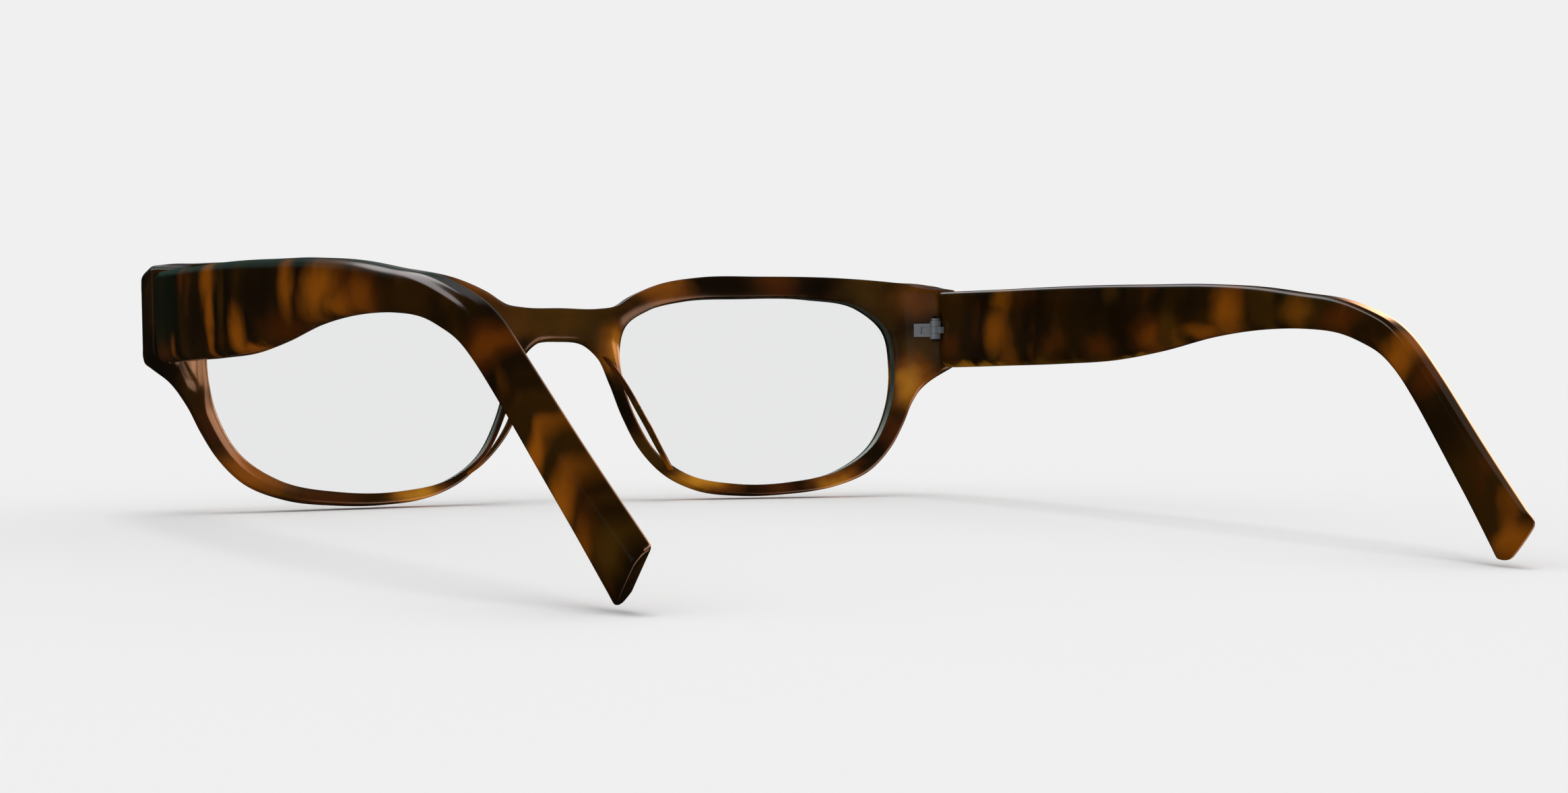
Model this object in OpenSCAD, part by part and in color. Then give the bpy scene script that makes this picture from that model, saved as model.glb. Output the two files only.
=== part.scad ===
// Full-rim acetate eyeglasses, temples open, standing on the rims and the temple tips.
// X runs across the face (wearer's left is +X), +Y runs back along the temples, +Z is up.
// The origin is on the ground under the middle of the overall box.

/* [Overall] */
// Width across the end pieces
front_w = 136.4; // [132:0.2:140]
// Height of the middle of the butt joint, where the temples start, above the ground
hinge_z = 28.8; // [28.5:0.1:29.2]
// How far the butt joint lies in front of the origin
butt_y = -63; // [-64:0.1:-61]
// Pantoscopic tilt: the top of the front leans forward by this angle
panto = 7.8; // [4:0.1:9]

/* [Front] */
// Thickness of the acetate front
front_t = 4.2; // [3.8:0.1:4.6]
// Radius of the rear face of the front in plan
wrap_r = 283; // [260:1:320]
// Distance from the butt joint forward to the rear face at the middle of the bridge
bridge_reach = 12.8; // [12:0.1:14]
// Gap between the end piece and the end of the temple
butt_gap = 0.25; // [0.2:0.05:0.4]

/* [Lenses] */
// Thickness of a lens
lens_t = 2; // [1.6:0.1:2.2]
// Depth of the lens groove in the rim
groove = 0.5; // [0.4:0.1:0.6]
// Distance from the rear face of the front to the rear face of a lens
lens_inset = 0.9; // [0.8:0.1:1.2]

/* [Nose pads] */
// Width of the pad's rail
pad_w = 1.4; // [1.2:0.1:1.6]
// Depth of the pad's rail, front to back
pad_d = 1.5; // [1.3:0.1:1.8]

/* [Temples] */
// Thickness of the temple at the butt joint
temple_t = 3.8; // [3.7:0.1:4]
// Thickness lost per millimetre of length
temple_taper = 0.006; // [0.005:0.001:0.008]
// Extra thickness lost at the tip
tip_thin = 0.4; // [0:0.1:0.6]
// How much shorter the inner face is than the outer one, at the tip's slanting cut
cut_skew = 1.4; // [0:0.1:1.6]
// Outward slope of the temple at the butt joint
toe_out = 0.01; // [0:0.001:0.02]
// Inward bow of the temple, millimetres per square millimetre of length
bow = 0.00068; // [0.0005:0.00002:0.0008]
// Inward lean of the part that drops behind the ear
drop_lean = 0.07; // [0.05:0.01:0.15]
// Height at which that lean begins
drop_z = 21.9; // [20:0.1:24]
// Outward lean of the whole blade, millimetres per millimetre of height
blade_lean = 0.03; // [0:0.01:0.05]
// Radius of the steel core wire
core_r = 0.7; // [0.6:0.05:0.8]

/* [Hinges] */
// Distance from the outer face of the temple to the pin
pin_inset = 4.7; // [4.5:0.1:4.9]
// Outer radius of a knuckle
knuckle_r = 0.95; // [0.9:0.05:1]
// Height of the front leaf, top to bottom
leaf_h = 3.1; // [3:0.1:3.4]
// Height of the temple leaf's middle knuckle
mid_h = 1.1; // [1:0.1:1.2]
// Clearance above and below the middle knuckle
side_play = 0.05; // [0.03:0.01:0.06]
// Radius of the screw's shank
shank_r = 0.5; // [0.45:0.05:0.55]
// Radial clearance of the shank in the knuckles
running = 0.03; // [0.02:0.01:0.05]

/* [Hidden] */

tortoise = "#6b3a12";
steel = "#a9adb2";
clear = [0.85, 0.9, 0.9, 0.4];

half_w = front_w / 2;
curve_steps = 6;        // points drawn between two points of an outline
pin = [half_w - pin_inset, -0.25];
relief_r = knuckle_r + 0.2;
end_slope = [[61.0, -6.4], [half_w - temple_t - 0.2, -butt_gap]];
slope_dir = (end_slope[0] - end_slope[1]) / norm(end_slope[0] - end_slope[1]);
slope_angle = atan2(slope_dir[1], slope_dir[0]);
plate_l = 4.3;          // hinge plate along the end piece's slope
plate_h = 2.3;
plate_t = 0.8;
plate_sunk = 0.45;      // how much of the plate's thickness is let into the acetate
plate_x = 0.6;          // from the butt end of the slope to the plate
panel = [1.7, 0.2, 1.3]; // length, depth and height of the sunk panel in the plate's face
panel_x = 1.15;         // from the plate's butt end to the panel
anchor = [1.6, 1.2, 1.5]; // length, depth and height of the heat-sunk anchor
tongue = [6.5, 0.9, 1.9]; // length, thickness and height of the temple leaf's tongue
tongue_x = 1.8;         // from the temple's inner face to the middle of the tongue
tongue_y = 0.9;         // where the tongue begins, behind the butt joint
screw_head = [0.75, 0.45]; // radius and height

// Half of the front's outline in its own plane: [across, up from the middle of the butt joint]
half_outline = [
  [0, 5.0], [6.5, 5.0], [9.3, 5.4], [13, 7.5], [17.5, 9.3], [25, 10.6], [36, 10.8],
  [50, 10.5], [60, 9.6], [65.7, 8.8], [67.5, 8.2], [68.1, 7.3], [68.2, 6.2], [68.2, 4.6],
  [68.2, -3.2], [68.2, -4.4], [67.9, -5.5], [67, -6.2], [64.5, -8.1], [61.9, -11.7],
  [60, -15.5], [57.5, -19.5], [53.5, -23.4], [47, -25.9], [39, -26.8], [31, -26.8],
  [23.5, -25.7], [18, -23], [13.8, -18.5],
  [10.9, -12.8], [8.8, -7.2], [6.8, -3.1], [4.2, -0.9], [0, -0.4]
];
// Edge of the lens opening in the same plane
opening = [
  [32.5, 7.1], [45, 6.9], [54, 5.1], [58.3, 1.2], [59.2, -5], [58, -12.5], [54.5, -19],
  [48.5, -23], [39, -24.9], [29, -24.9], [20.5, -23], [15.3, -19.3], [12.1, -14],
  [10.3, -8.5], [9.8, -3], [11.3, 2.1], [15.5, 4.8], [22.5, 6.6]
];
// The pad's rail: [across, back from the rear face, up]
pad_route = [
  [6.9, -0.8, -2.6], [8.1, 0.9, -5.5], [9.4, 2.6, -9], [10.7, 3.8, -12.5], [12.2, 4.0, -15.5],
  [14.2, 3.0, -18.6], [16.4, 1.2, -21.2], [18.6, -0.8, -23]
];
// The temple's middle line: [back, up, height of the blade, lean of its cross-section]
blade = [
  [0, 0.1, 13.2, -panto], [15, 0.1, 12.7, -2], [35, 0.15, 12.2, 0], [50, 0.25, 11.4, 0],
  [62, 0.65, 9.8, 0], [75, 1.35, 7.5, -1.5], [88, 1.3, 5.7, 1.6], [97, 0.7, 4.7, 4.9],
  [104, 0, 4.4, 9.8], [111, -1.7, 4.4, 18.7], [117.2, -4.5, 4.6, 32], [122.7, -9, 4.7, 41.5],
  [131.4, -17.1, 5.4, 42.7], [134, -19.5, 5.7, 42.7], [141.3, -26.3, 6.95, 42]
];

// Smooth curves through a few points, with cubic Hermite pieces
function slope3(a, b, c) =
  let (s = norm(b - a), t = norm(c - b)) ((b - a) * (t / s) + (c - b) * (s / t)) / (s + t);
function piece(a, b, ma, mb, u) =
  let (l = norm(b - a))
  a * (2 * u ^ 3 - 3 * u ^ 2 + 1) + b * (3 * u ^ 2 - 2 * u ^ 3)
  + ma * (l * (u ^ 3 - 2 * u ^ 2 + u)) + mb * (l * (u ^ 3 - u ^ 2));
function closed_curve(p, n = curve_steps) =
  let (c = len(p))
  [for (i = [0:c - 1], k = [0:n - 1])
    let (a = p[(i + c - 1) % c], b = p[i], d = p[(i + 1) % c], e = p[(i + 2) % c])
    piece(b, d, slope3(a, b, d), slope3(b, d, e), k / n)];
function open_slope(p, i) =
  i == 0 ? (p[1] - p[0]) / norm(p[1] - p[0])
  : i == len(p) - 1 ? (p[i] - p[i - 1]) / norm(p[i] - p[i - 1])
  : slope3(p[i - 1], p[i], p[i + 1]);
function open_curve(p, n) =
  concat(
    [for (i = [0:len(p) - 2], k = [0:n - 1])
      piece(p[i], p[i + 1], open_slope(p, i), open_slope(p, i + 1), k / n)],
    [p[len(p) - 1]]);
function mirrored(p) = [for (i = [len(p) - 1:-1:0]) [-p[i][0], p[i][1]]];
function full_outline() =
  let (left = mirrored(half_outline))
  concat(half_outline, [for (i = [1:len(left) - 2]) left[i]]);
// Moves a closed outline that runs clockwise outwards by d
function grown(p, d) =
  let (c = len(p))
  [for (i = [0:c - 1])
    let (t = p[(i + 1) % c] - p[(i + c - 1) % c]) p[i] + d * [-t[1], t[0]] / norm(t)];

// A closed skin over rings of equal length
module skin(rings) {
  n = len(rings[0]);
  m = len(rings);
  points = [for (r = rings) for (q = r) q];
  sides = [for (i = [0:m - 2], k = [0:n - 1])
    let (a = i * n + k, b = i * n + (k + 1) % n) each [[a, b, b + n], [a, b + n, a + n]]];
  polyhedron(points, concat(sides,
    [[for (k = [n - 1:-1:0]) k], [for (k = [0:n - 1]) (m - 1) * n + k]]));
}

// Places: on the ground, in the front's tilted plane, and on the right-hand side
module at_butt() { translate([0, butt_y, hinge_z]) children(); }
module in_front_plane() { at_butt() rotate([panto, 0, 0]) children(); }
module on_right() { mirror([1, 0, 0]) children(); }

module plate_from_outline(points) {
  translate([0, 10, 0]) rotate([90, 0, 0]) linear_extrude(40) polygon(points);
}

// The space between two depths behind the rear face, following the wrap of the front
module wrap_shell(from, to) {
  translate([0, wrap_r - bridge_reach, -40]) difference() {
    cylinder(h = 80, r = wrap_r + to, $fn = 720);
    translate([0, 0, -1]) cylinder(h = 82, r = wrap_r + from, $fn = 720);
  }
}
module behind_rear_face() {
  translate([0, wrap_r - bridge_reach, -40]) cylinder(h = 80, r = wrap_r, $fn = 720);
}

// The thickened end of the front that meets the temple
module end_block() {
  intersection() {
    translate([0, 0, -7.6]) linear_extrude(20) polygon([
      [59.5, -8], end_slope[0], end_slope[1], [half_w + 1, -butt_gap], [half_w + 1, -8]
    ]);
    translate([0, 0, 7.1]) rotate([-panto - 8, 0, 0]) translate([50, -20, -20]) cube([30, 40, 20]);
  }
}

module pin_relief() {
  translate([pin[0], pin[1], -leaf_h / 2 - 0.2]) cylinder(h = leaf_h + 1, r = relief_r, $fn = 48);
}

// Places a shape on the slope of the end piece, with X running down the slope
module on_slope() {
  translate([end_slope[1][0], end_slope[1][1], 0]) rotate([0, 0, slope_angle]) children();
}

// Solid of the hinge's plate and anchor
module hinge_plate() {
  on_slope() {
    translate([plate_x, plate_sunk - plate_t, -plate_h / 2]) cube([plate_l, plate_t, plate_h]);
    translate([2, plate_sunk, -anchor[2] / 2]) cube(anchor);
  }
}

module plate_panel() {
  on_slope() translate([plate_x + panel_x, plate_sunk - plate_t - 0.1, -panel[2] / 2])
    cube(panel + [0, 0.1, 0]);
}

module front_shape() {
  color(tortoise) difference() {
    intersection() {
      plate_from_outline(closed_curve(full_outline()));
      union() {
        wrap_shell(0, front_t);
        end_block();
        on_right() end_block();
      }
    }
    for (side = [0, 1]) mirror([side, 0, 0]) {
      plate_from_outline(closed_curve(opening));
      lens_solid();
    }
  }
}

module front_frame() {
  color(tortoise) difference() {
    in_front_plane() front_shape();
    for (side = [0, 1]) mirror([side, 0, 0]) at_butt() {
      pin_relief();
      hinge_plate();
    }
  }
}

module lens_solid() {
  intersection() {
    plate_from_outline(grown(closed_curve(opening), groove));
    wrap_shell(lens_inset, lens_inset + lens_t);
  }
}
module lens_left() { color(clear) in_front_plane() lens_solid(); }
module lens_right() { on_right() lens_left(); }

// A rail that stands off the rim and carries the frame on the side of the nose
module nose_pad_left() {
  route = open_curve(pad_route, 5);
  last = len(route) - 1;
  rings = [for (i = [0:last])
    let (
      c = route[i],
      swell = 0.75 + 0.25 * sin(180 * i / last),
      base_y = -bridge_reach + c[0] ^ 2 / (2 * wrap_r))
    [for (a = [0:45:315])
      [c[0] + swell * pad_w / 2 * cos(a), base_y + c[1] + swell * pad_d / 2 * sin(a), c[2]]]];
  color(tortoise) in_front_plane() intersection() {
    skin(rings);
    behind_rear_face();
  }
}
module nose_pad_right() { on_right() nose_pad_left(); }

// Outer face of the temple: distance from the middle plane at a point [back, up]
function drop(z) = let (d = drop_z - hinge_z - z) (d + sqrt(d * d + 9)) / 2;
function outer_x(y, z) =
  half_w - 0.2 + toe_out * y - bow * y * abs(y) - drop_lean * drop(z) + blade_lean * z;
function blade_t(y) = temple_t - temple_taper * y - tip_thin * max(0, (y - 124) / 17) ^ 2;

// One cross-section of the blade, with corners of radius r
function blade_ring(row, r = 0.9) =
  let (
    t = blade_t(row[0]), h = row[2] / 2, up = [sin(row[3]), cos(row[3])],
    cut = cut_skew * max(0, (row[0] - 128) / 13) ^ 2 / t)
  [for (corner = [[1, 1], [-1, 1], [-1, -1], [1, -1]], k = [0:2])
    let (
      turn = corner[0] * corner[1] > 0 ? k : 2 - k,
      along = corner[1] * (h - r + r * cos(90 - 45 * turn)),
      across = -t / 2 + corner[0] * (t / 2 - r + r * sin(90 - 45 * turn)),
      p = [row[0], row[1]] + along * up + cut * across * [up[1], -up[0]])
    [outer_x(p[0], p[1]) + across, p[0], p[1]]];

module blade_solid() { skin([for (row = open_curve(blade, 4)) blade_ring(row)]); }

// The wire runs from the end of the hinge's tongue to short of the temple's tip
module core_solid() {
  curve = [for (row = open_curve(blade, 3)) if (row[0] > 9 && row[0] < 128) row];
  rows = concat([[tongue_y + tongue[0], 0, 12.8, 0]], curve);
  skin([for (row = rows)
    let (up = [sin(row[3]), cos(row[3])], x = outer_x(row[0], row[1]) - blade_t(row[0]) / 2)
    [for (a = [0:45:315])
      let (p = [row[0], row[1]] + core_r * cos(a) * up) [x - core_r * sin(a), p[0], p[1]]]]);
}

// The part of the temple leaf that is sunk into the end of the temple
module tongue_solid() {
  translate([half_w - temple_t + tongue_x - tongue[1] / 2, tongue_y, -tongue[2] / 2])
    cube([tongue[1], tongue[0], tongue[2]]);
}
module tongue_arm() {
  translate([pin[0], 0, -mid_h / 2])
    cube([half_w - temple_t + tongue_x + tongue[1] / 2 - pin[0], tongue_y + 0.4, mid_h]);
}

module temple_left() {
  color(tortoise) at_butt() difference() {
    blade_solid();
    core_solid();
    pin_relief();
    tongue_solid();
    tongue_arm();
  }
}
module temple_right() { on_right() temple_left(); }

module core_wire_left() { color(steel) at_butt() core_solid(); }
module core_wire_right() { on_right() core_wire_left(); }

module front_hinge_left() {
  lug_h = (leaf_h - mid_h) / 2 - side_play;
  color(steel) at_butt() difference() {
    union() {
      hinge_plate();
      for (z = [-leaf_h / 2, leaf_h / 2 - lug_h]) translate([pin[0], pin[1], z])
        cylinder(h = lug_h, r = knuckle_r, $fn = 48);
    }
    translate([pin[0], pin[1], -leaf_h]) cylinder(h = 2 * leaf_h, r = shank_r + running, $fn = 48);
    translate([pin[0], pin[1], -mid_h / 2 - side_play])
      cylinder(h = mid_h + 2 * side_play, r = relief_r, $fn = 48);
    plate_panel();
  }
}
module front_hinge_right() { on_right() front_hinge_left(); }

module temple_hinge_left() {
  color(steel) at_butt() difference() {
    union() {
      tongue_solid();
      tongue_arm();
      translate([pin[0], pin[1], -mid_h / 2]) cylinder(h = mid_h, r = knuckle_r, $fn = 48);
    }
    translate([pin[0], pin[1], -leaf_h]) cylinder(h = 2 * leaf_h, r = shank_r + running, $fn = 48);
  }
}
module temple_hinge_right() { on_right() temple_hinge_left(); }

module hinge_screw_left() {
  slot = [2, 0.25, 0.2];
  color(steel) at_butt() translate([pin[0], pin[1], 0]) difference() {
    union() {
      translate([0, 0, -leaf_h / 2]) cylinder(h = leaf_h, r = shank_r, $fn = 48);
      translate([0, 0, leaf_h / 2]) cylinder(h = screw_head[1], r = screw_head[0], $fn = 48);
    }
    translate([-slot[0] / 2, -slot[1] / 2, leaf_h / 2 + screw_head[1] - slot[2]]) cube(slot);
  }
}
module hinge_screw_right() { on_right() hinge_screw_left(); }

front_frame();
lens_left();
lens_right();
nose_pad_left();
nose_pad_right();
front_hinge_left();
front_hinge_right();
hinge_screw_left();
hinge_screw_right();
temple_left();
temple_right();
core_wire_left();
core_wire_right();
temple_hinge_left();
temple_hinge_right();
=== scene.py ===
"""Looks of a tortoiseshell acetate eyeglasses frame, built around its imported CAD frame."""

import math

import bpy
import numpy as np
from mathutils import Matrix, Vector
from mathutils.geometry import delaunay_2d_cdt


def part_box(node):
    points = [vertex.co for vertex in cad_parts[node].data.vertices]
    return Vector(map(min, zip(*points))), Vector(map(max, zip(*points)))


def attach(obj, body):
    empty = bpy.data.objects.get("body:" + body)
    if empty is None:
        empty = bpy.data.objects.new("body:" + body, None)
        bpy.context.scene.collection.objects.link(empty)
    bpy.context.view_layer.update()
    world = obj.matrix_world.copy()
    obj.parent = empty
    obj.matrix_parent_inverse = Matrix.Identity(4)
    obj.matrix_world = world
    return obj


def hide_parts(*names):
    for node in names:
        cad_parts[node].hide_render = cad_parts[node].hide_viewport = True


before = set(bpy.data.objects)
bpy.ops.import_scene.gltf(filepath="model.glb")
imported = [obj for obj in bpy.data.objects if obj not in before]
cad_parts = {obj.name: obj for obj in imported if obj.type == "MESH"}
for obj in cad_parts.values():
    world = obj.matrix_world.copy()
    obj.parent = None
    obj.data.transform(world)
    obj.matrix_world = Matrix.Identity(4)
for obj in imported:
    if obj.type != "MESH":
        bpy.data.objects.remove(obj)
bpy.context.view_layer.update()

MM = 0.001

# ---------------------------------------------------------------- sizes, in millimetres

PANTO = math.radians(7.8)          # tilt of the front, top forward
HALF_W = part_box("front_frame")[1][0] / MM
PIN_BOX = np.array(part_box("hinge_screw_left")) / MM
PIN = (PIN_BOX[0] + PIN_BOX[1]) / 2
HINGE_Z = 28.8                     # middle of the butt joint
BUTT_Y = PIN[1] + 0.25             # where the temples start
WRAP_R = 283.0                     # rear face of the front, in plan
REACH = 12.8                       # from the butt joint forward to the bridge
FRONT_T = 4.2
BUTT_GAP = 0.25
SLOPE_FOOT = (61.0, -6.4)          # slope inside the end piece: [across, back]
SLOPE_TOP = (64.1, -0.25)
BLOCK_TOP = 7.1                    # top of the flat that meets the temple
BLOCK_TOP_TILT = math.radians(8)   # slope above it
BLOCK_FOOT = -6.3                  # bottom of that flat
UNDERCUT = 1.8                     # forward per millimetre down, below it
LENS_T = 1.8
LENS_INSET = 1.1                   # below the rear face
LENS_PLAY = 0.02                   # between a lens and its rim
TEMPLE_T = 3.8
PILLOW = 0.25                      # the temples' outer faces are slightly domed
TEMPLE_TAPER = 0.006               # thickness lost per millimetre
TIP_THIN = 0.4                     # further thinning at the tip
CUT_SKEW = 1.4                     # the tip's end is cut at a slant
OUTER_GAP = 0.2                    # the temples start this far inside the front's ends
TOE_OUT = 0.01                     # the temples spread a little
BOW = 0.00068                      # and bow inwards towards the tips
DROP_LEAN = 0.07                   # the drops lean inwards
DROP_BELOW = -6.9                  # height at which that lean begins
BLADE_LEAN = 0.03                  # the outer faces lean outwards with height
TIP_FROM, TIP_RUN = 124, 17        # where the tips begin to thin, and over what length
CUT_FROM, CUT_RUN = 128, 13        # where the sections begin to turn towards the slanted cut
BUTT_ROUND = 0.15
TIP_ROUND = 0.5
REAR_ROUND = 1.4                   # roundings of the front's outline
FRONT_ROUND = 1.1
END_ROUND = 0.4                    # at the end pieces
RIM_BEVEL = 2.2                    # width of the openings' bevel on the wearer's side
HINGE_BEVEL = 0.9                  # beside the hinges
RIM_ROUND = 0.6                    # on the front side
RELIEF_R = 1.15
RELIEF_H = (-1.75, 2.35)

HALF_OUTLINE = [
    (0, 5.0), (6.5, 5.0), (9.3, 5.4), (13, 7.5), (17.5, 9.3), (25, 10.6), (36, 10.8),
    (50, 10.5), (60, 9.6), (65.7, 8.8), (67.5, 8.2), (68.1, 7.3), (68.2, 6.2), (68.2, 4.6),
    (68.2, -3.2), (68.2, -4.4), (67.9, -5.5), (67, -6.2), (64.5, -8.1), (61.9, -11.7),
    (60, -15.5), (57.5, -19.5), (53.5, -23.4), (47, -25.9), (39, -26.8), (31, -26.8),
    (23.5, -25.7), (18, -23), (13.8, -18.5), (10.9, -12.8), (8.8, -7.2), (6.8, -3.1),
    (4.2, -0.9), (0, -0.4),
]
OPENING = [
    (32.5, 7.1), (45, 6.9), (54, 5.1), (58.3, 1.2), (59.2, -5), (58, -12.5), (54.5, -19),
    (48.5, -23), (39, -24.9), (29, -24.9), (20.5, -23), (15.3, -19.3), (12.1, -14),
    (10.3, -8.5), (9.8, -3), (11.3, 2.1), (15.5, 4.8), (22.5, 6.6),
]
PAD_ROUTE = [
    (6.6, -2.2, -1.8), (8.0, 0.7, -5.3), (9.4, 2.6, -9), (10.7, 3.8, -12.5),
    (12.2, 4.0, -15.5), (14.2, 3.0, -18.6), (16.4, 1.2, -21.2), (18.9, -2.1, -23.2),
]
# The temple's middle line: [back, up, height of the blade, lean of its cross-section].
# It is rounded from a least-squares fit to the photo, as are the temple's taper, bow and leans
BLADE = [
    (0, 0.1, 13.2, -7.8), (15, 0.1, 12.7, -2), (35, 0.15, 12.2, 0), (50, 0.25, 11.4, 0),
    (62, 0.65, 9.8, 0), (75, 1.35, 7.5, -1.5), (88, 1.3, 5.7, 1.6), (97, 0.7, 4.7, 4.9),
    (104, 0, 4.4, 9.8), (111, -1.7, 4.4, 18.7), (117.2, -4.5, 4.6, 32), (122.7, -9, 4.7, 41.5),
    (131.4, -17.1, 5.4, 42.7), (134, -19.5, 5.7, 42.7), (141.3, -26.3, 6.95, 42),
]


# ---------------------------------------------------------------- curves

def slope3(a, b, c):
    s, t = np.linalg.norm(b - a), np.linalg.norm(c - b)
    return ((b - a) * (t / s) + (c - b) * (s / t)) / (s + t)


def hermite(a, b, ma, mb, u):
    length = np.linalg.norm(b - a)
    return (a * (2 * u**3 - 3 * u**2 + 1) + b * (3 * u**2 - 2 * u**3)
            + ma * (length * (u**3 - 2 * u**2 + u)) + mb * (length * (u**3 - u**2)))


def closed_curve(points, steps):
    p = [np.array(q, float) for q in points]
    c = len(p)
    slopes = [slope3(p[i - 1], p[i], p[(i + 1) % c]) for i in range(c)]
    return np.array([
        hermite(p[i], p[(i + 1) % c], slopes[i], slopes[(i + 1) % c], k / steps)
        for i in range(c) for k in range(steps)])


def open_curve(points, steps):
    p = [np.array(q, float) for q in points]
    last = len(p) - 1
    slopes = [(p[1] - p[0]) / np.linalg.norm(p[1] - p[0])]
    slopes += [slope3(p[i - 1], p[i], p[i + 1]) for i in range(1, last)]
    slopes.append((p[last] - p[last - 1]) / np.linalg.norm(p[last] - p[last - 1]))
    out = [hermite(p[i], p[i + 1], slopes[i], slopes[i + 1], k / steps)
           for i in range(last) for k in range(steps)]
    return np.array(out + [p[last]])


def inward_normals(loop):
    """Unit normals to the right of a clockwise loop's travel, which is its inside."""
    t = np.roll(loop, -1, 0) - np.roll(loop, 1, 0)
    n = np.stack([t[:, 1], -t[:, 0]], 1)
    return n / np.linalg.norm(n, axis=1)[:, None]


def nearest(points, others):
    d = np.linalg.norm(points[:, None] - others[None], axis=2)
    return d.min(1)


def smoothed(values, passes):
    for _ in range(passes):
        values = (np.roll(values, 1) + 2 * values + np.roll(values, -1)) / 4
    return values


def bend_radius(loop, normals):
    """How tightly a loop curves towards its normals: large where it is straight or hollow."""
    a = loop - np.roll(loop, 1, 0)
    b = np.roll(loop, -1, 0) - loop
    turn = np.einsum("ij,ij->i", b / np.linalg.norm(b, axis=1)[:, None]
                     - a / np.linalg.norm(a, axis=1)[:, None], normals)
    step = (np.linalg.norm(a, axis=1) + np.linalg.norm(b, axis=1)) / 2
    return step / np.maximum(turn, 1e-4)


def inside(points, loop):
    x, y = points[:, 0][:, None], points[:, 1][:, None]
    ax, ay = loop[:, 0][None], loop[:, 1][None]
    bx, by = np.roll(loop[:, 0], -1)[None], np.roll(loop[:, 1], -1)[None]
    crosses = (ay > y) != (by > y)
    with np.errstate(divide="ignore", invalid="ignore"):
        hit = crosses & (x < (bx - ax) * (y - ay) / (by - ay) + ax)
    return hit.sum(1) % 2 == 1


# ---------------------------------------------------------------- meshes

def add_object(name, verts, faces, body, material, replaced=()):
    mesh = bpy.data.meshes.new(name)
    mesh.from_pydata([tuple(float(c) * MM for c in v) for v in verts], [], faces)
    mesh.validate()
    mesh.polygons.foreach_set("use_smooth", [True] * len(mesh.polygons))
    mesh.materials.append(material)
    mesh.update()
    obj = bpy.data.objects.new(name, mesh)
    bpy.context.scene.collection.objects.link(obj)
    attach(obj, body)
    if replaced:
        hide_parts(*replaced)
    return obj


def to_row(points):
    """From the front's tilted plane, as [across, back, up], to the row frame."""
    p = np.asarray(points, float)
    c, s = math.cos(PANTO), math.sin(PANTO)
    return np.stack([p[:, 0], BUTT_Y + p[:, 1] * c - p[:, 2] * s,
                     HINGE_Z + p[:, 1] * s + p[:, 2] * c], 1)


def drill(obj, side):
    """Cuts the round relief for the hinge's knuckles."""
    n = 48
    x, y = side * PIN[0], PIN[1]
    ring = [(x + RELIEF_R * math.cos(2 * math.pi * k / n), y + RELIEF_R * math.sin(2 * math.pi * k / n))
            for k in range(n)]
    verts = [(a * MM, b * MM, (HINGE_Z + z) * MM) for z in RELIEF_H for a, b in ring]
    faces = [(k, (k + 1) % n, n + (k + 1) % n, n + k) for k in range(n)]
    faces += [tuple(range(n - 1, -1, -1)), tuple(range(n, 2 * n))]
    mesh = bpy.data.meshes.new("cutter")
    mesh.from_pydata(verts, [], faces)
    cutter = bpy.data.objects.new("cutter", mesh)
    bpy.context.scene.collection.objects.link(cutter)
    mod = obj.modifiers.new("relief", "BOOLEAN")
    mod.operation = "DIFFERENCE"
    mod.solver = "EXACT"
    mod.object = cutter
    graph = bpy.context.evaluated_depsgraph_get()
    cut = bpy.data.meshes.new_from_object(obj.evaluated_get(graph))
    obj.modifiers.remove(mod)
    old = obj.data
    obj.data = cut
    bpy.data.meshes.remove(old)
    bpy.data.objects.remove(cutter)
    bpy.data.meshes.remove(mesh)


# ---------------------------------------------------------------- the front

def smooth_min(a, b, k):
    h = np.clip(0.5 + 0.5 * (b - a) / k, 0, 1)
    return b + (a - b) * h - k * h * (1 - h)


def smooth_max(a, b, k):
    return -smooth_min(-a, -b, k)


def wrap_face(x, offset):
    return WRAP_R - REACH - np.sqrt((WRAP_R + offset) ** 2 - x**2)


def rear_face(p):
    """Depth of the rear face: the wrapped rims, and the blocks that meet the temples."""
    x, z = np.abs(p[:, 0]), p[:, 1]
    rim = wrap_face(x, 0)
    steep = (SLOPE_TOP[1] - SLOPE_FOOT[1]) / (SLOPE_TOP[0] - SLOPE_FOOT[0])
    slope = SLOPE_FOOT[1] + (x - SLOPE_FOOT[0]) * steep
    top = -BUTT_GAP - (z - BLOCK_TOP) / math.tan(PANTO + BLOCK_TOP_TILT)
    under = -BUTT_GAP - (BLOCK_FOOT - z) * UNDERCUT
    block = smooth_min(slope, smooth_min(top, under, 0.8), 2.8)
    block = smooth_min(block, np.full_like(x, -BUTT_GAP), 0.5)
    return smooth_max(rim, block, 2.0)


def front_face(p):
    return wrap_face(np.abs(p[:, 0]), FRONT_T)


def grid_points(bounds, step):
    xs = np.arange(bounds[0], bounds[1], step)
    zs = np.arange(bounds[2], bounds[3], step)
    return np.array([(x, z) for x in xs for z in zs])


class Shell:
    """Collects vertices and faces of one closed mesh."""

    def __init__(self):
        self.verts, self.faces = [], []

    def add(self, points):
        start = len(self.verts)
        self.verts.extend(np.asarray(points).tolist())
        return list(range(start, start + len(points)))

    def band(self, a, b, flip):
        n = len(a)
        for k in range(n):
            q = (a[k], a[(k + 1) % n], b[(k + 1) % n], b[k])
            self.faces.append(q[::-1] if flip else q)


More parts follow.
